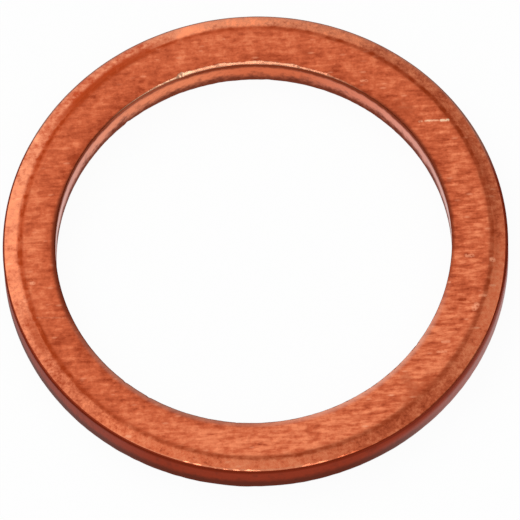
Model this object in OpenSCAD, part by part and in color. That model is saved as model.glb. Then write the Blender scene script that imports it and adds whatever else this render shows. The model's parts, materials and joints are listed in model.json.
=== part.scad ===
// Copper crush washer: a flat ring stamped from strip, lying on its lower face.
// The upper face is flat out to a fine crease. Outside the crease a narrow band slopes
// down to the rim, where the stamping die drew the metal over.
// The origin is on the bore axis at the lower face, with +Z up through the hole.

/* [Ring] */
// diameter across the rim
outer_d = 25.9; // [24:0.1:40]
// diameter of the hole
bore_d = 20.3; // [8:0.1:22]
// height from the lower face to the upper face
thick = 1.9; // [1:0.1:4]

/* [Rim band] */
// width of the sloping band, from the middle of the crease to the rim
band_w = 0.81; // [0.5:0.01:1]
// how far the band drops between the crease and the rim
band_drop = 0.12; // [0.04:0.01:0.2]
// width of the crease across its mouth
crease_w = 0.26; // [0.1:0.02:0.4]
// depth of the crease below the upper face
crease_depth = 0.02; // [0.01:0.01:0.1]

/* [Edges] */
// rounding where the band meets the rim wall
rim_top_r = 0.14; // [0.1:0.01:0.4]
// rounding where the rim wall meets the lower face
rim_foot_r = 0.12; // [0.04:0.01:0.3]
// rounding where the upper face meets the hole
bore_top_r = 0.08; // [0.04:0.01:0.3]
// rounding where the hole meets the lower face
bore_foot_r = 0.1; // [0.04:0.01:0.3]

/* [Hidden] */

// straight pieces that stand for the ring's circle, and for a small edge circle
ring_steps = 160;
edge_steps = 24;

rim_r = outer_d / 2;
bore_r = bore_d / 2;
crease_r = rim_r - band_w;
band_slope = band_drop / band_w;

// the crease is cut by a circle through both lips and the lowest point
crease_cut_r = (pow(crease_w / 2, 2) + pow(crease_depth, 2)) / (2 * crease_depth);

// the upper edges turn through this angle, short of the quarter turn that would blend
// them into the face, so that the face and the band each end in a crisp lip
edge_turn = 58;
bore_top_z = thick - bore_top_r * sin(edge_turn);
rim_lip_r = rim_r - rim_top_r * (1 - cos(edge_turn));
rim_top_z = thick - (rim_lip_r - crease_r) * band_slope - rim_top_r * sin(edge_turn);

// what comes off a corner to round it, about the rounding's centre
module corner_cut(x, z, r, turn) {
    translate([x, z]) rotate(turn) difference() {
        square(2 * r);
        circle(r, $fn = edge_steps);
    }
}

// the ring's section with its corners still sharp
module blank() {
    polygon([
        [bore_r, 0],
        [rim_r, 0],
        [rim_r, thick - band_drop],
        [crease_r, thick],
        [bore_r, thick]
    ]);
}

module section() {
    difference() {
        blank();
        corner_cut(rim_r - rim_top_r, rim_top_z, rim_top_r, 0);
        corner_cut(bore_r + bore_top_r, bore_top_z, bore_top_r, 90);
        corner_cut(bore_r + bore_foot_r, bore_foot_r, bore_foot_r, 180);
        corner_cut(rim_r - rim_foot_r, rim_foot_r, rim_foot_r, 270);
        translate([crease_r, thick - crease_depth + crease_cut_r])
            circle(crease_cut_r, $fn = edge_steps);
    }
}

module washer() {
    color([0.80, 0.39, 0.25]) rotate_extrude($fn = ring_steps) section();
}

washer();
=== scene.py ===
import json
import math

import bpy
import numpy as np
from mathutils import Matrix, Vector


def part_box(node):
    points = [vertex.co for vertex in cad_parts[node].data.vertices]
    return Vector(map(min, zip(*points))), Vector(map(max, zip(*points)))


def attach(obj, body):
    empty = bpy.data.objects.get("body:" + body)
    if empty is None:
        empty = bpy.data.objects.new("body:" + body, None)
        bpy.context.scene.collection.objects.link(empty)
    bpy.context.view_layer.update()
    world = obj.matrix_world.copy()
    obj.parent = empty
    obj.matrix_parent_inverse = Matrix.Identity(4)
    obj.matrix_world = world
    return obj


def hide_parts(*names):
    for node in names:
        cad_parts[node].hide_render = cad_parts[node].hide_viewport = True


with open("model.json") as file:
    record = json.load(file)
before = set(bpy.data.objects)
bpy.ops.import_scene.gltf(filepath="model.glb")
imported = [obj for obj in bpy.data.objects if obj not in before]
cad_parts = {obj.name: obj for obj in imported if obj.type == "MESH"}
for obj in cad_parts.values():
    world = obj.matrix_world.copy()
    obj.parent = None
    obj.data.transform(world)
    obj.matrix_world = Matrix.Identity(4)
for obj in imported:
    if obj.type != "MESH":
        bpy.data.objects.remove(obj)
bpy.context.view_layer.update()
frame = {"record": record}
mm = 0.001

washerLow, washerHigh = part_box("washer")
boreMount = next(m for m in frame["record"]["mounts"] if m["name"] == "bore")

# the ring's shape in millimetres and degrees; rim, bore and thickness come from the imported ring
ring = {
    "rimR": min(-washerLow.x, -washerLow.y, washerHigh.x, washerHigh.y) / mm,
    "boreR": boreMount["dims"]["r_mm"],
    "thick": (washerHigh.z - washerLow.z) / mm,
    "faceDip": 0.003,  # how uneven the upper face is
    "holeShift": (-0.09, -0.034),  # the hole was punched a little off centre, and the crease less so
    "creaseR": 12.14,
    "creaseShift": (0.052, 0.02),
    "creaseOval": 0.056,
    "creaseWander": 0.02,
    "creaseWidth": 0.26,
    "creaseDepth": 0.002,  # a mere mark: painted shade in it draws the line
    "bandDrop": 0.12,
    "rimTopRound": 0.14,
    "rimFootRound": 0.12,
    "boreTopRound": 0.08,
    "boreFootRound": 0.1,
    "edgeTurn": 58,  # what an upper edge turns through; short of a quarter turn, it leaves a crisp lip
    "rimRub": 0.055,  # worn flat on each lip, and its tilt
    "boreRub": 0.11,
    "rubTilt": 22,
    "rimWorn": (260, 18),  # where each lip is most worn, and how far round that goes
    "boreWorn": (88, 34),
    "rubLeast": 0.12,  # share of the flat that is left on the other sides
    "rimRubLevel": 0.1,  # small against its wave, so that the flat on the rim comes and goes
    "shoulder": 0.012,  # from a worn flat to the sound face
    # unevenness round the ring: share of the size, slowest and fastest cycles in a turn
    "waves": {
        "face": (1.0, 2, 9),
        "creaseLine": (1.0, 6, 60),
        "creaseWidth": (0.3, 5, 90),
        "creaseDepth": (0.45, 4, 120),
        "bandSlope": (0.1, 2, 12),
        "boreTop": (0.35, 15, 280),
        "boreRub": (0.45, 12, 300),
        "boreFoot": (0.3, 10, 160),
        "rimFoot": (0.3, 10, 160),
        "rimTop": (0.12, 8, 90),
        "rimRub": (1.5, 25, 330),
        "rubTilt": (0.2, 15, 200),
    },
    # nicks in the edges: angle round the ring, half length along the edge, depth
    "nicks": {
        "boreTop": [(227.1, 0.10, 0.09), (235.4, 0.12, 0.08), (321.7, 0.09, 0.10), (262, 0.07, 0.05)],
        "boreRub": [
            (109.7, 0.10, 0.15),
            (108.9, 0.18, 0.17),
            (107.7, 0.4, 0.12),
            (103, 0.9, 0.05),
            (97, 0.5, 0.06),
            (86, 0.9, 0.06),
            (77, 0.3, 0.06),
            (66, 0.2, 0.05),
        ],
        "boreFoot": [(128, 0.12, 0.10), (84, 0.20, 0.06)],
        "rimFoot": [],
        "rimTop": [(251, 0.08, 0.04), (258.5, 0.07, 0.05), (266, 0.10, 0.04), (279, 0.06, 0.05)],
        "rimRub": [
            (251.6, 0.34, 0.12),
            (254.2, 0.36, 0.13),
            (260.6, 0.26, 0.07),
            (263.2, 0.3, 0.075),
            (265.6, 0.26, 0.07),
            (267.8, 0.24, 0.06),
            (279.4, 0.36, 0.09),
            (282.4, 0.36, 0.09),
            (287.4, 0.34, 0.07),
            (290.2, 0.3, 0.06),
        ],
    },
    # mesh columns on each stretch of the section, and steps round the ring
    "columns": {"edge": 7, "flat": 2, "face": 11, "crease": 9, "band": 5, "wall": 6, "foot": 6, "under": 4},
    "steps": 1200,
    "seed": 11,
}


def closedWave(rng, turn, slow, fast):
    # a wave that closes on itself round the ring, from slow to fast cycles, within -1 to 1
    cycles = np.arange(slow, fast + 1)[:, None]
    phase = rng.uniform(0, 2 * math.pi, cycles.shape)
    total = (np.cos(cycles * turn + phase) / np.sqrt(cycles)).sum(axis=0)
    return total / np.abs(total).max()


def hump(turn, angle, half):
    # 1 at this angle in degrees, fading over half radians on either side
    away = (turn - math.radians(angle) + math.pi) % (2 * math.pi) - math.pi
    return np.exp(-((away / half) ** 2))


def nickDepth(turn, radius, marks):
    # how far each place on an edge is knocked in by the marks on it
    depth = np.zeros_like(turn)
    for angle, halfLength, deep in marks:
        depth = np.maximum(depth, deep * hump(turn, angle, halfLength / radius))
    return depth


def straightRun(start, end, count):
    # columns between two edges, without the ends
    return [tuple(a + (b - a) * i / (count + 1) for a, b in zip(start, end)) for i in range(1, count + 1)]


def roundRun(midR, midZ, size, fromDeg, toDeg, count):
    # columns along a rounding, with both ends
    sweep = [math.radians(fromDeg + (toDeg - fromDeg) * i / (count - 1)) for i in range(count)]
    return [(midR + size * math.cos(q), midZ + size * math.sin(q)) for q in sweep]


def offCentre(shift, cosTurn, sinTurn):
    # how far a circle that is shifted lies outside one that isn't, for numbers and for wires
    return cosTurn * shift[0] + sinTurn * shift[1]


def washerColumns(size, turn):
    # the section's outline, point by point, each point a (radius, height) pair of arrays round the ring
    rng = np.random.default_rng(size["seed"])
    rimR, edgeTurn, shoulder, columns = size["rimR"], size["edgeTurn"], size["shoulder"], size["columns"]

    def wave(name):
        amount, slow, fast = size["waves"][name]
        return amount * closedWave(rng, turn, slow, fast)

    def nicked(name, radius):
        return nickDepth(turn, radius, size["nicks"][name])

    def rounding(name, radius):
        return size[name + "Round"] * (1 + wave(name)) + nicked(name, radius)

    def worn(name):
        angle, half = size[name]
        return hump(turn, angle, math.radians(half))

    def bandAt(radius):
        return faceZ - (radius - creaseR) * slope

    # the waves are drawn in the order that follows, so a new one goes last
    boreR = size["boreR"] + offCentre(size["holeShift"], np.cos(turn), np.sin(turn))
    faceZ = size["thick"] - size["faceDip"] * (1 + wave("face")) / 2
    creaseR = size["creaseR"] + offCentre(size["creaseShift"], np.cos(turn), np.sin(turn))
    creaseR = creaseR - size["creaseOval"] * np.cos(2 * turn) + size["creaseWander"] * wave("creaseLine")
    creaseHalf = size["creaseWidth"] / 2 * (1 + wave("creaseWidth"))
    creaseDeep = size["creaseDepth"] * (1 + wave("creaseDepth"))
    slope = size["bandDrop"] / (rimR - creaseR) * (1 + wave("bandSlope"))

    boreTop = rounding("boreTop", boreR)
    boreRub = worn("boreWorn") * (1 + wave("boreRub"))
    boreRub = size["boreRub"] * (size["rubLeast"] + boreRub) + nicked("boreRub", boreR)
    boreFoot = rounding("boreFoot", boreR)
    rimFoot = rounding("rimFoot", rimR)
    rimTop = rounding("rimTop", rimR)
    rimRub = np.clip(worn("rimWorn") * (size["rimRubLevel"] + wave("rimRub")), 0, None)
    rimRub = size["rimRub"] * (size["rubLeast"] + rimRub) + nicked("rimRub", rimR)
    rubSlope = math.tan(math.radians(size["rubTilt"])) * (1 + wave("rubTilt"))

    lipIn, lipUp = 1 - math.cos(math.radians(edgeTurn)), math.sin(math.radians(edgeTurn))
    boreLip = (boreR + boreTop * lipIn, faceZ - boreRub * rubSlope)
    boreFlat = (boreLip[0] + boreRub, faceZ)
    faceStart = (boreFlat[0] + shoulder, faceZ)
    boreMid = (boreR + boreTop, boreLip[1] - lipUp * boreTop)
    boreUp = roundRun(*boreMid, boreTop, 180, 180 - edgeTurn, columns["edge"])

    rimLipR = rimR - rimTop * lipIn
    rimFlat = (rimLipR - rimRub, bandAt(rimLipR - rimRub))
    bandEnd = (rimFlat[0] - shoulder, bandAt(rimFlat[0] - shoulder))
    rimMid = (rimR - rimTop, rimFlat[1] - rimRub * rubSlope - lipUp * rimTop)
    rimDown = roundRun(*rimMid, rimTop, edgeTurn, 0, columns["edge"])

    creaseOut = bandAt(creaseR + creaseHalf)
    crease = [
        (creaseR + creaseHalf * s, faceZ + (creaseOut - faceZ) * (s + 1) / 2 - creaseDeep * (1 - s * s) ** 2)
        for s in np.linspace(-1, 1, columns["crease"])
    ]

    rimUnder = roundRun(rimR - rimFoot, rimFoot, rimFoot, 0, -90, columns["foot"])
    boreUnder = roundRun(boreR + boreFoot, boreFoot, boreFoot, 270, 180, columns["foot"])
    return (
        boreUp
        + straightRun(boreUp[-1], boreFlat, columns["flat"])
        + [boreFlat, faceStart]
        + straightRun(faceStart, crease[0], columns["face"])
        + crease
        + straightRun(crease[-1], bandEnd, columns["band"])
        + [bandEnd, rimFlat]
        + straightRun(rimFlat, rimDown[0], columns["flat"])
        + rimDown
        + straightRun(rimDown[-1], rimUnder[0], columns["wall"])
        + rimUnder
        + straightRun(rimUnder[-1], boreUnder[0], columns["under"])
        + boreUnder
        + straightRun(boreUnder[-1], boreUp[0], columns["wall"])
    )


def makeWasher(size):
    turn = np.linspace(0, 2 * math.pi, size["steps"], endpoint=False)
    columns = [np.broadcast_arrays(r, z, turn)[:2] for r, z in washerColumns(size, turn)]
    radius = np.array([c[0] for c in columns])
    height = np.array([c[1] for c in columns])
    points = np.stack([radius * np.cos(turn), radius * np.sin(turn), height], axis=-1) * mm
    count, steps = radius.shape

    # quads between each column and the next, and each step and the next
    col, step = np.meshgrid(np.arange(count), np.arange(steps), indexing="ij")
    colNext, stepNext = (col + 1) % count, (step + 1) % steps
    corners = [(col, step), (col, stepNext), (colNext, stepNext), (colNext, step)]
    quads = np.stack([c * steps + s for c, s in corners], axis=-1)
    mesh = bpy.data.meshes.new("copperWasher")
    mesh.from_pydata(points.reshape(-1, 3).tolist(), [], quads.reshape(-1, 4)[:, ::-1].tolist())
    mesh.shade_smooth()
    mesh.update()
    washer = bpy.data.objects.new("copperWasher", mesh)
    bpy.context.scene.collection.objects.link(washer)
    print("washer mesh:", len(mesh.vertices), "points,", 2 * len(mesh.polygons), "triangles")
    return washer


class Wire:
    # a shader socket that Python sums can use; each sum adds its Math node
    def __init__(self, tree, socket=None):
        self.tree, self.socket = tree, socket

    def node(self, kind, settings=None, sockets=None, out=0):
        made = self.tree.nodes.new("ShaderNode" + kind)
        for key, value in (settings or {}).items():
            setattr(made, key, value)
        for key, value in (sockets or {}).items():
            if isinstance(value, Wire):
                self.tree.links.new(value.socket, made.inputs[key])
            else:
                made.inputs[key].default_value = value
        return Wire(self.tree, made.outputs[out] if made.outputs else None)

    def math(self, how, *values):
        return self.node("Math", {"operation": how}, dict(enumerate(values)))

    def __add__(self, other):
        return self.math("ADD", self, other)

    def __sub__(self, other):
        return self.math("SUBTRACT", self, other)

    def __rsub__(self, other):
        return self.math("SUBTRACT", other, self)

    def __mul__(self, other):
        return self.math("MULTIPLY", self, other)

    def __truediv__(self, other):
        return self.math("DIVIDE", self, other)

    def __pow__(self, other):
        return self.math("POWER", self, other)

    def __abs__(self):
        return self.math("ABSOLUTE", self)

    __radd__, __rmul__ = __add__, __mul__

    def ramp(self, low, high, ease="SMOOTHSTEP"):
        # 0 at low, 1 at high, held outside them; low may be the greater
        sockets = {"Value": self, "From Min": low, "From Max": high}
        return self.node("MapRange", {"interpolation_type": ease}, sockets)


def blend(wire, amount, under, over):
    # colour mix: under at amount 0, over at amount 1
    return wire.node("Mix", {"data_type": "RGBA"}, {0: amount, 6: under, 7: over}, 2)


def newMaterial(name):
    material = bpy.data.materials.new(name)
    material.use_nodes = True
    material.node_tree.nodes.clear()
    return material, Wire(material.node_tree)


# copper's finish; lengths in millimetres, angles round the ring in degrees
copper = {
    "face": (0.59, 0.121, 0.048, 1),
    # lighter and darker copies of the face: wear and tarnish along the grain, and painted light and shade on
    # some sides
    "rubbed": (0.86, 0.255, 0.117, 1),
    "tarnish": (0.34, 0.050, 0.017, 1),
    "fleck": (0.90, 0.34, 0.185, 1),
    "scratch": (0.93, 0.50, 0.30, 1),
    # polished copper on the worn flats and a scratch, partly a painted glint
    "shine": (1.0, 0.74, 0.48, 1),
    # painted sheen and painted light on the band, on some sides
    "paleBand": (0.57, 0.205, 0.108, 1),
    "warmBand": (0.80, 0.178, 0.073, 1),
    # painted shade in the crease; the same colour draws a few dark marks on the face
    "crease": (0.295, 0.036, 0.008, 1),
    # painted shade on the hole's lips, and dark dots on its near lip
    "lipDark": (0.155, 0.026, 0.011, 1),
    "lipGrey": (0.36, 0.150, 0.105, 1),
    "lipPale": (0.70, 0.31, 0.215, 1),
    # the rim: painted shade at its edge and foot, and a wall darkened to stand in for shade; the foot's
    # colour also draws the wall's stains
    "rimEdge": (0.225, 0.026, 0.009, 1),
    "rimWall": (0.33, 0.047, 0.021, 1),
    "rimFoot": (0.14, 0.030, 0.018, 1),
    "boreWall": (0.72, 0.163, 0.068, 1),
    # a painted highlight on one side of the bore wall
    "boreBright": (0.92, 0.27, 0.125, 1),
    # painted shade under the bore's edge and at its foot; the edge's colour also draws the wall's stains
    "boreEdge": (0.25, 0.045, 0.018, 1),
    "boreFoot": (0.165, 0.036, 0.021, 1),
    "wallEdgeTint": (0.55, 0.42, 0.40, 1),
    "grainTurn": -3.3,  # the strip's rolling direction against X
    "grainStretch": (1.1, 4.6, 1),  # streaks to the millimetre along and across it
    "shearStretch": (1, 1, 0.35),  # the rim wall's mottles run up and down
    "chips": {"scale": 2.2, "stretch": (0.8, 2.2, 1), "share": 0.14, "fullShare": 0.084},
    # textures: scale, detail, roughness
    "clouds": {
        "grain": (1.0, 4.0, 0.62),
        "fineGrain": (2.3, 2.0, 0.6),
        "patch": (1.1, 4.0, 0.6),
        "speck": (4.0, 3.0, 0.65),
        "crumb": (8.0, 2.0, 0.6),
        "creaseDirt": (2.4, 3.0, 0.55),
        "smudge": (2.2, 3.0, 0.55),
        "shear": (3.2, 3.0, 0.6),
    },
    # how far specks and patches push a tone, or the edge of a zone
    "mottles": {
        "face": (2.8, 3.6),
        "crease": (0.08, 0.18),
        "rimWall": (0.0, 3.0),
        "rimFoot": (0.5, 0.0),
        "boreWall": (3.0, 3.0),
        "boreEdge": (0.2, 0.35),
        "boreFoot": (0.7, 0.8),
    },
    # where a thing begins and where it is full
    "fades": {
        "top": (-0.32, -0.26),  # from the upper face's height
        "wornBelow": (-0.005, -0.010),
        "wornAbove": (-0.14, -0.09),
        "rimEdge": (-0.36, -0.24),
        "boreEdge": (-0.55, -0.22),
        "rimGloss": (-0.5, -1.15),
        "under": (0.06, 0.03),  # from the lower face's height
        "rimFoot": (1.05, 0.45),
        "boreFoot": (1.08, 0.28),
        "rimSide": (-0.105, -0.075),  # from the rim's radius
        "greyRim": (-0.28, -0.06),
        "wornRim": (-0.20, -0.16),
        "boreSide": (0.032, 0.014),  # from the hole's radius
        "nearBore": (0.9, 0.1),
        "wornBore": (0.5, 0.4),
        "lip": (0.36, 0.06),
        "lipDots": (0.08, 0.04),
        "lipDull": (0.06, 0.03),
        "lipDirt": (0.04, -0.20),
        "band": (0.0, 0.14),  # from the crease's radius
        "creaseHalo": (0.42, 0.0),
        "rubbed": (0.0, 1.6),  # in tone
        "tarnish": (0.0, -1.5),
        "rimStain": (-0.1, -1.4),
        "boreStain": (0.0, -1.2),
        "creaseDirt": (0.38, 0.68),  # in a texture's own level
        "smudge": (0.15, 0.45),
        "streaks": (0.3, 0.6),
        "crumbs": (0.32, 0.52),
        "dots": (0.5, 0.6),
        "chip": (0.42, 0.12),
        "greyEdge": (0.0, 0.3),
    },
    # what there is more of on some sides, or less: angle, how far it fades, amount
    "sides": {
        "grain": [(325, 95, 2.8)],
        # painted light and shade on the face, on some sides
        "face": [
            (282, 68, 0.45),
            (35, 35, -0.10),
            (140, 40, -0.22),
            (212, 26, -0.36),
            (180, 26, 0.2),
            (272, 22, 0.25),
            (2, 26, 0.15),
        ],
        # painted light and shade on the band, on some sides
        "band": [
            (90, 26, 0.65),
            (35, 30, 0.3),
            (127, 22, -0.75),
            (302, 24, -0.5),
            (58, 20, 0.25),
            (330, 22, 0.2),
            (230, 16, 0.4),
            (342, 14, 0.4),
        ],
        "smoothBand": [(140, 70, 1.0)],
        "paleBand": [(125, 95, 0.9), (208, 26, 0.4)],
        "warmBand": [(264, 36, 0.75), (345, 24, 0.9)],
        "flecks": [(318, 60, 0.45)],
        "creaseLean": [(198, 22, 0.04), (172, 24, -0.03)],
        "creaseMore": [(172, 80, 0.4), (46, 34, 0.4)],
        "creaseLess": [(325, 26, 0.4), (229, 16, 0.25)],
        "creaseWide": [(183, 46, 0.04)],
        "cleanLip": [(318, 60, 0.5)],
        "paleLip": [(305, 44, 0.85)],
        "greyLip": [(238, 48, 0.85)],
        "lipDots": [(296, 60, 0.9)],
        "lipReach": [(190, 42, 0.16), (22, 44, 0.08)],
        "lipDirt": [(170, 54, 1.2), (20, 58, 1.0)],
        "wornBore": [(90, 40, 0.24), (119, 18, 0.24)],
        "brightBore": [(124, 34, 1.0)],
        "cleanBore": [(122, 18, 0.15)],
        "dullBore": [(90, 60, 0.48), (52, 26, -0.4)],
        "wornRim": [(258, 32, 0.15)],
        "greyRim": [(70, 100, 0.5)],
        "greyEdge": [(85, 78, 1.0)],
        # how far in the rim side, with its painted shade, begins on some sides
        "rimDirt": [(320, 36, -0.06), (228, 40, 0.05), (6, 40, 0.065)],
        "rimEdge": [(318, 40, 0.15)],
        "cleanFoot": [(335, 34, 1.0)],
        "rimGloss": [(332, 46, 1.0)],
        "dullRim": [(212, 36, -0.45)],
    },
    # how strongly a texture, a painted shade, a smudge or a stain shows
    "shows": {
        "grain": 3.9,
        "nearBore": 0.65,
        "bandGrain": 2.0,
        "bandSpeck": 1.3,
        "fleck": 0.4,
        "crease": 0.40,
        "creaseDirt": 0.34,
        "creaseHalo": 0.12,
        "smudge": 0.95,
        "shear": 4.0,
        "rimStain": 0.5,
        "boreStain": 0.5,
        "boreFoot": 0.92,
    },
    "creaseHalf": (0.20, 0.03),  # from the crease's middle, where its painted shade begins and where it is full
    "lipReach": 0.14,  # how far out the dirt on the hole's lip goes
    # smudges by the crease: middle, reach and full reach across it, angle, how far it fades, amount
    "smudges": [
        (0.06, 0.36, 0.12, 128, 24, 1.0),
        (0.12, 0.38, 0.08, 10, 32, 0.38),
        (-0.20, 0.60, 0.10, 312, 9, 0.4),
        (0.26, 0.36, 0.10, 202, 8, 0.7),
    ],
    # spots, specks and scratches: colour, what breaks them up, then both ends, half width and strength
    "marks": [
        ("rubbed", "streaks", [
            ((-2.95, -10.80), (-2.45, -10.86), 0.50, 0.8),
            ((-0.50, -11.46), (0.10, -11.46), 0.40, 0.7),
            ((8.60, -5.95), (8.95, -5.50), 0.30, 0.6),
            ((-11.42, 0.59), (-11.15, 0.59), 0.45, 0.6),
        ]),
        ("tarnish", "streaks", [
            ((7.75, 7.35), (8.20, 7.05), 0.45, 0.6),
            ((7.30, -8.10), (7.70, -8.90), 0.40, 0.45),
        ]),
        ("fleck", "crumbs", [
            ((10.98, -4.40), (11.10, -4.24), 0.20, 0.85),
            ((11.30, -3.72), (11.60, -3.72), 0.10, 0.6),
            ((12.02, -1.70), (12.10, -1.74), 0.16, 0.9),
            ((10.75, -1.42), (11.05, -1.44), 0.14, 0.6),
            ((-11.53, -1.72), (-11.43, -1.72), 0.13, 0.9),
            ((-7.03, -10.56), (-6.89, -10.56), 0.12, 0.8),
            ((9.25, -6.21), (9.60, -6.21), 0.10, 0.6),
            ((9.00, -6.75), (9.40, -6.76), 0.09, 0.6),
            ((5.88, 8.82), (6.16, 8.82), 0.09, 0.7),
        ]),
        ("scratch", "crumbs", [
            ((8.75, 6.32), (8.87, 6.33), 0.08, 0.4),
            ((9.06, 6.34), (9.38, 6.35), 0.08, 0.7),
            ((9.46, 6.35), (9.70, 6.35), 0.07, 0.6),
            ((-11.33, -3.68), (-9.90, -3.76), 0.07, 0.10),
        ]),
        # a painted glint along the scratch
        ("shine", "crumbs", [
            ((9.86, 6.33), (10.22, 6.33), 0.095, 0.75),
            ((9.16, 6.34), (9.26, 6.35), 0.08, 0.4),
        ]),
        ("crease", "crumbs", [
            ((10.28, -3.87), (10.52, -3.89), 0.13, 0.75),
            ((-11.93, -1.52), (-11.55, -1.55), 0.14, 0.6),
        ]),
    ],
    # roughness of the face, and what each zone or wear adds to it
    "rough": {
        "face": 0.32,
        "grain": 0.25,
        "band": -0.06,
        "worn": -0.25,
        "rim": 0.2,
        "rimGloss": -0.14,
        "bore": -0.12,
        "grime": 0.25,
    },
    # the relief's strength and depth, and the share of each texture in it
    "relief": {
        "strength": 0.5,
        "distance": 0.03,
        "grain": 0.5,
        "fineGrain": 0.3,
        "speck": 0.3,
        "bandSpeck": 0.3,
        "rimSpeck": 0.6,
    },
    # how dull the walls are when seen at a slant
    "dull": {"rim": 0.85, "rimGloss": -0.75, "bore": 0.3, "grime": 0.9},
}


class Places:
    # where a point lies on the ring, as wires in millimetres, and the textures that several zones share
    def __init__(self, start, size, look):
        self.start, self.size, self.look = start, size, look
        inMetres = start.node("TexCoord", out="Object")
        self.spot = start.node("VectorMath", {"operation": "SCALE"}, {0: inMetres, "Scale": 1 / mm})
        self.x, self.y, self.z = [start.node("SeparateXYZ", sockets={0: self.spot}, out=i) for i in range(3)]
        self.radius = (self.x * self.x + self.y * self.y) ** 0.5
        self.cosTurn, self.sinTurn = self.x / self.radius, self.y / self.radius
        holeOff = offCentre(size["holeShift"], self.cosTurn, self.sinTurn)
        creaseOff = offCentre(size["creaseShift"], self.cosTurn, self.sinTurn)
        oval = (self.cosTurn * self.cosTurn - self.sinTurn * self.sinTurn) * size["creaseOval"]
        self.fromTop = self.z - size["thick"]
        self.fromRim = self.radius - size["rimR"]
        self.fromBore = self.radius - size["boreR"] - holeOff
        self.fromCrease = self.radius - size["creaseR"] - creaseOff + oval

        self.top = self.fade("top", self.fromTop)
        outside = self.fade("band", self.fromCrease)
        self.face = self.top * (1 - outside) + self.fade("under", self.z)
        self.band = self.top * outside
        # the rim side, with its painted shade, begins further in on some sides
        self.rimSide = self.fade("rimSide", self.fromRim + self.sides("rimDirt"))
        self.boreSide = self.fade("boreSide", self.fromBore)

        self.grain = self.streaks("grain")
        self.patch = self.cloud("patch")
        self.speck = self.cloud("speck")
        self.crumb = self.cloud("crumb")

    def fade(self, name, value, ease="SMOOTHSTEP"):
        return value.ramp(*self.look["fades"][name], ease)

    def stretched(self, stretch, turn):
        sockets = {"Vector": self.spot, "Rotation": (0, 0, -math.radians(turn)), "Scale": stretch}
        return self.start.node("Mapping", sockets=sockets)

    def cloud(self, name, stretch=(1, 1, 1), turn=0.0):
        # a texture that varies about 0.5
        scale, detail, rough = self.look["clouds"][name]
        sockets = {"Scale": scale, "Detail": detail, "Roughness": rough}
        return self.start.node("TexNoise", sockets={"Vector": self.stretched(stretch, turn), **sockets})

    def streaks(self, name):
        return self.cloud(name, self.look["grainStretch"], self.look["grainTurn"])

    def mottle(self, name):
        bySpeck, byPatch = self.look["mottles"][name]
        return (self.speck - 0.5) * bySpeck + (self.patch - 0.5) * byPatch

    def chips(self):
        # scattered small spots along the grain, in a share of the cells
        plan = self.look["chips"]
        spot = self.stretched(plan["stretch"], self.look["grainTurn"])
        sockets = {"Vector": spot, "Scale": plan["scale"]}
        near = self.start.node("TexVoronoi", sockets=sockets)
        shade = self.start.node("TexVoronoi", sockets=sockets, out="Color")
        cell = self.start.node("SeparateColor", sockets={0: shade})
        return self.fade("chip", near) * cell.ramp(1 - plan["share"], 1 - plan["fullShare"])

    def towards(self, angle, half):
        # 1 on the side of the ring at this angle, easing to 0 at half degrees from it
        a = math.radians(angle)
        ahead = self.cosTurn * math.cos(a) + self.sinTurn * math.sin(a)
        return ahead.ramp(math.cos(math.radians(half)), 1.0)

    def sides(self, name):
        return sum(self.towards(angle, half) * amount for angle, half, amount in self.look["sides"][name])

    def scratch(self, first, last, half):
        # 1 along the line between two places, easing to 0 at half its width
        dx, dy = last[0] - first[0], last[1] - first[1]
        px, py = self.x - first[0], self.y - first[1]
        along = ((px * dx + py * dy) / (dx * dx + dy * dy)).ramp(0, 1, "LINEAR")
        offX, offY = px - along * dx, py - along * dy
        return (offX * offX + offY * offY).ramp(half * half, 0)


def faceTone(at):
    # lighter above 0 and darker below: streaks on the faces, mottles on the band, painted light and shade on
    # some sides, and darker towards the hole
    shows = at.look["shows"]
    tone = at.face * (at.grain - 0.5) * (shows["grain"] + at.sides("grain"))
    tone = tone + at.mottle("face") + at.sides("face")
    nearBore = at.fade("nearBore", at.fromBore) * (shows["nearBore"] - at.sides("cleanLip"))
    bandSpeck = (at.speck + at.crumb - 1) * (shows["bandSpeck"] - at.sides("smoothBand"))
    bandTone = (at.grain - 0.5) * shows["bandGrain"] + bandSpeck + at.sides("band")
    return tone - at.top * nearBore + at.band * bandTone


def creaseDirt(at):
    # painted shade in the crease comes and goes, and darker smudges lie beside it in a few places
    look, shows = at.look, at.look["shows"]
    beside = abs(at.fromCrease + at.sides("creaseLean") + at.mottle("crease"))
    strength = shows["crease"] + at.fade("creaseDirt", at.cloud("creaseDirt")) * shows["creaseDirt"]
    strength = strength * (1 + at.sides("creaseMore")) * (1 - at.sides("creaseLess"))
    begins, full = look["creaseHalf"]
    wider = at.sides("creaseWide")
    line = beside.ramp(begins + wider, full + wider / 2) * strength
    line = line + at.fade("creaseHalo", beside) * shows["creaseHalo"]
    smudge = sum(
        abs(at.fromCrease - middle).ramp(reach, fullReach) * at.towards(angle, half) * amount
        for middle, reach, fullReach, angle, half, amount in look["smudges"]
    )
    smudge = smudge * at.fade("smudge", at.cloud("smudge")) * shows["smudge"]
    return at.start.math("MAXIMUM", line, smudge)


def lipTones(at, colour):
    # the lips: painted shade round the left and far right of the hole, and a painted highlight where they
    # catch the light
    start, look = at.start, at.look
    inward = at.fade("lip", at.fromBore)
    colour = blend(start, at.top * inward * at.sides("paleLip"), colour, look["lipPale"])
    greyRim = at.fade("greyRim", at.fromRim) * at.sides("greyRim")
    grey = start.math("MAXIMUM", inward * at.sides("greyLip"), greyRim)
    colour = blend(start, at.top * grey, colour, look["lipGrey"])
    dots = at.fade("lipDots", at.fromBore) * at.sides("lipDots") * at.fade("dots", at.speck)
    colour = blend(start, at.top * dots, colour, look["lipDark"])
    lipShadeMask = at.fade("lipDirt", at.fromBore - (look["lipReach"] + at.sides("lipReach")))
    lipShadeMask = lipShadeMask * start.math("MINIMUM", at.sides("lipDirt"), 1.0)
    return blend(start, at.top * lipShadeMask, colour, look["lipDark"])


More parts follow.
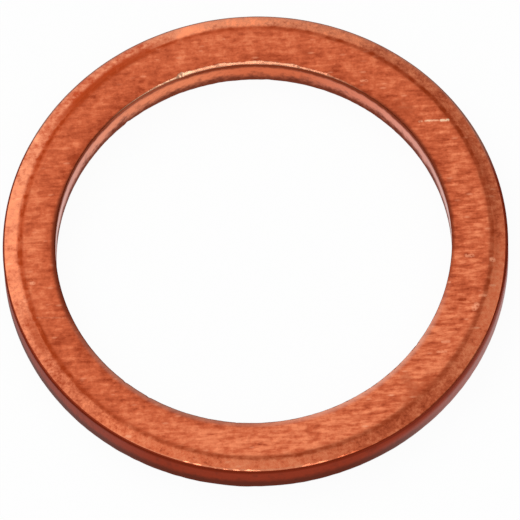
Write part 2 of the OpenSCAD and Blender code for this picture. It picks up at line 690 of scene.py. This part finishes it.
def faceColour(at):
    start, look, tone = at.start, at.look, faceTone(at)
    colour = blend(start, at.band * at.sides("paleBand"), look["face"], look["paleBand"])
    colour = blend(start, at.band * at.sides("warmBand"), colour, look["warmBand"])
    for over in ("rubbed", "tarnish"):
        colour = blend(start, at.fade(over, tone, "LINEAR"), colour, look[over])
    flecks = at.chips() * (look["shows"]["fleck"] + at.sides("flecks"))
    colour = blend(start, at.top * flecks, colour, look["fleck"])
    colour = blend(start, at.top * creaseDirt(at), colour, look["crease"])
    broken = {"streaks": at.fade("streaks", at.grain), "crumbs": at.fade("crumbs", at.crumb)}
    for over, texture, places in look["marks"]:
        for first, last, half, strength in places:
            shown = at.top * at.scratch(first, last, half) * broken[texture] * strength
            colour = blend(start, shown, colour, look[over])
    return lipTones(at, colour)


def lipWearAndGlint(at):
    # the worn flats on the lips, whose polished colour is partly a painted glint
    onSlope = at.fade("wornBelow", at.fromTop) * at.fade("wornAbove", at.fromTop)
    onBore = onSlope * at.fade("wornBore", at.fromBore) * at.sides("wornBore")
    onRim = at.fade("wornRim", at.fromRim) * (1 - at.rimSide) * at.sides("wornRim")
    return onBore + onRim


def rimColour(at):
    # the rim wall: painted shade along its edge, over a brown sheared wall darkened as painted shade, with a
    # darker foot, also painted shade, but for the right
    start, look, shows = at.start, at.look, at.look["shows"]
    foot = at.fade("rimFoot", at.z + at.mottle("rimFoot")) * (1 - at.sides("cleanFoot"))
    colour = blend(start, foot, look["rimWall"], look["rimFoot"])
    shear = (at.cloud("shear", look["shearStretch"]) - 0.5) * shows["shear"] + at.mottle("rimWall")
    stain = at.fade("rimStain", shear, "LINEAR") * shows["rimStain"]
    colour = blend(start, stain, colour, look["rimFoot"])
    edge = blend(start, at.fade("greyEdge", at.sides("greyEdge")), look["rimEdge"], look["lipGrey"])
    return blend(start, at.fade("rimEdge", at.fromTop + at.sides("rimEdge")), colour, edge)


def boreShade(at):
    # painted shade on the bore wall, under its upper edge and at its foot
    edge = at.fade("boreEdge", at.fromTop + at.mottle("boreEdge")) * (1 - at.sides("cleanBore"))
    foot = at.fade("boreFoot", at.z + at.mottle("boreFoot"))
    return edge, foot


# the bore wall: a painted highlight on one side, stains and painted shade under the edge in one dark colour,
# and painted shade at the foot
def boreColour(at, edge, foot):
    start, look, shows = at.start, at.look, at.look["shows"]
    stain = at.fade("boreStain", at.mottle("boreWall"), "LINEAR") * shows["boreStain"]
    colour = blend(start, at.sides("brightBore"), look["boreWall"], look["boreBright"])
    colour = blend(start, start.math("MAXIMUM", stain, edge), colour, look["boreEdge"])
    return blend(start, foot * shows["boreFoot"], colour, look["boreFoot"])


def copperFinish(size, look):
    material, start = newMaterial("stampedCopper")
    at = Places(start, size, look)
    worn, rimGloss = lipWearAndGlint(at), at.fade("rimGloss", at.fromTop) * at.sides("rimGloss")
    shadeUnderEdge, shadeAtFoot = boreShade(at)
    grime = at.boreSide * start.math("MAXIMUM", shadeUnderEdge, shadeAtFoot)
    colour = blend(start, worn, faceColour(at), look["shine"])
    colour = blend(start, at.rimSide, colour, rimColour(at))
    colour = blend(start, at.boreSide, colour, boreColour(at, shadeUnderEdge, shadeAtFoot))

    rough = look["rough"]
    roughness = rough["face"] + at.face * (at.grain - 0.5) * rough["grain"]
    roughness = roughness + at.band * rough["band"] + worn * rough["worn"]
    roughness = roughness + at.rimSide * (rough["rim"] + rimGloss * rough["rimGloss"])
    roughness = roughness + at.boreSide * rough["bore"] + grime * rough["grime"]

    relief = look["relief"]
    height = at.grain * relief["grain"] + at.streaks("fineGrain") * relief["fineGrain"]
    height = at.face * (height + at.speck * relief["speck"])
    height = height + (at.band * relief["bandSpeck"] + at.rimSide * relief["rimSpeck"]) * at.speck
    sockets = {"Strength": relief["strength"], "Distance": relief["distance"] * mm, "Height": height}
    normal = start.node("Bump", sockets=sockets)

    # the walls are mixed with a duller metal, and so is the bore's lip
    dull = look["dull"]
    onRim = dull["rim"] + rimGloss * dull["rimGloss"] + at.sides("dullRim")
    onBore = start.math("MAXIMUM", dull["bore"] + at.sides("dullBore"), grime * dull["grime"])
    onLip = at.top * at.fade("lipDull", at.fromBore) * (1 - at.boreSide)
    dullness = at.rimSide * onRim + at.boreSide * onBore + onLip
    metal = {"Base Color": colour, "Metallic": 1.0, "Roughness": roughness, "Normal": normal}
    brightMetal = start.node("BsdfPrincipled", sockets=metal)
    dullMetal = start.node("BsdfPrincipled", sockets={**metal, "Specular Tint": look["wallEdgeTint"]})
    surface = start.node("MixShader", sockets={0: dullness, 1: brightMetal, 2: dullMetal})
    start.node("OutputMaterial", sockets={"Surface": surface})
    return material


washer = makeWasher(ring)
washer.data.materials.append(copperFinish(ring, copper))
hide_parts("washer")
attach(washer, "root")
print("washer dressed")

# floor and lights; lengths in metres, light levels as seen in a mirror
studio = {
    "floorR": 0.6,
    "floorSides": 96,
    "floorGap": 0.01 * mm,  # just clear of the ring's lower face
    "floorColour": (0.9, 0.9, 0.895, 1),
    "floorGlow": 0.95,
    "skyLow": 0.04,
    "skyHigh": 0.70,
    "skyRise": (0.05, 0.95),  # heights between which the sky lightens
    "roomGlow": 0.4,  # the lit room behind the camera, and where it begins and is full
    "roomEdge": (-0.4, -0.95),
    "keyFrom": (-0.60, 0.62, 0.50),
    "keyEdge": (0.6, 1.0),  # cosine from the key's middle, where it fades out and where it is full
    "keyFade": (0.2, 0.55),  # it also fades towards the horizon, between these heights
    "keyLevel": 1.5,
    "stripFrom": (0.0, -0.16, 0.50),
    "stripSize": (0.34, 0.06),
    "stripLevel": 4.2,
}


def makeFloor(plan):
    bpy.ops.mesh.primitive_circle_add(vertices=plan["floorSides"], radius=plan["floorR"], fill_type="NGON")
    floor = bpy.context.object
    floor.name = "floor"
    floor.location.z = -plan["floorGap"]
    material, start = newMaterial("paleFloor")
    rays = ("Is Camera Ray", "Is Glossy Ray", "Is Transmission Ray")
    seen = start.math("MINIMUM", sum(start.node("LightPath", out=name) for name in rays), 1.0)
    matte = start.node("BsdfDiffuse", sockets={"Color": plan["floorColour"]})
    glow = start.node("Emission", sockets={"Color": (1, 1, 1, 1), "Strength": 1.0})
    surface = start.node("MixShader", sockets={0: seen * plan["floorGlow"], 1: matte, 2: glow})
    start.node("OutputMaterial", sockets={"Surface": surface})
    floor.data.materials.append(material)


def stripLight(plan):
    # a long soft light over the camera, as bright in a mirror as its level
    across, deep = plan["stripSize"]
    lamp = bpy.data.lights.new("stripLight", "AREA")
    lamp.shape, lamp.size, lamp.size_y = "RECTANGLE", across, deep
    lamp.energy = plan["stripLevel"] * math.pi * across * deep
    light = bpy.data.objects.new("stripLight", lamp)
    light.location = plan["stripFrom"]
    light.rotation_euler = (-Vector(plan["stripFrom"])).to_track_quat("-Z", "Y").to_euler()
    bpy.context.scene.collection.objects.link(light)


def makeSky(plan):
    # a dim room that lightens overhead, with one big soft light on the far left
    world = bpy.data.worlds.new("softSky")
    world.use_nodes = True
    world.node_tree.nodes.clear()
    bpy.context.scene.world = world
    start = Wire(world.node_tree)
    look = start.node("TexCoord", out=0)
    far, up = [start.node("SeparateXYZ", sockets={0: look}, out=i) for i in (1, 2)]
    sockets = {0: look, 1: Vector(plan["keyFrom"]).normalized()}
    key = start.node("VectorMath", {"operation": "DOT_PRODUCT"}, sockets, "Value")
    level = plan["skyLow"] + up.ramp(*plan["skyRise"]) * (plan["skyHigh"] - plan["skyLow"])
    level = level + far.ramp(*plan["roomEdge"]) * plan["roomGlow"]
    level = level + key.ramp(*plan["keyEdge"]) * up.ramp(*plan["keyFade"]) * plan["keyLevel"]
    sky = start.node("Background", sockets={"Color": level, "Strength": 1.0})
    start.node("OutputWorld", sockets={"Surface": sky})


makeFloor(studio)
makeSky(studio)
stripLight(studio)
print("floor and lights placed")

# camera, fitted to the ring's rim and bore in the photograph's 520 pixel frame
shot = {
    "frameSide": 520,
    "elevation": math.radians(64.68),
    "roll": math.radians(2.96),
    "distance": 600 * mm,
    "pixelsPerMm": 19.484,
    "ringCentre": (256.1, 257.12),
    "sensor": 36.0,
    "clip": (0.01, 10),
}


def makeCamera(plan):
    e, roll = plan["elevation"], plan["roll"]
    right, up = Vector((1, 0, 0)), Vector((0, math.sin(e), math.cos(e)))
    back = Vector((0, -math.cos(e), math.sin(e)))
    right, up = right * math.cos(roll) - up * math.sin(roll), right * math.sin(roll) + up * math.cos(roll)
    middle, perPixel = plan["frameSide"] / 2, mm / plan["pixelsPerMm"]
    offX, offY = [(middle - c) * perPixel for c in plan["ringCentre"]]
    aim = right * offX - up * offY
    camera = bpy.data.objects.new("camera", bpy.data.cameras.new("camera"))
    camera.data.sensor_width = plan["sensor"]
    camera.data.lens = plan["sensor"] * plan["distance"] / (plan["frameSide"] * perPixel)
    camera.data.clip_start, camera.data.clip_end = plan["clip"]
    facing = Matrix((right, up, back)).transposed().to_4x4()
    camera.matrix_world = Matrix.Translation(aim + back * plan["distance"]) @ facing
    bpy.context.scene.collection.objects.link(camera)
    bpy.context.scene.camera = camera
    print("camera lens", round(camera.data.lens, 1), "mm")


makeCamera(shot)
bpy.context.scene.view_settings.view_transform = "Standard"
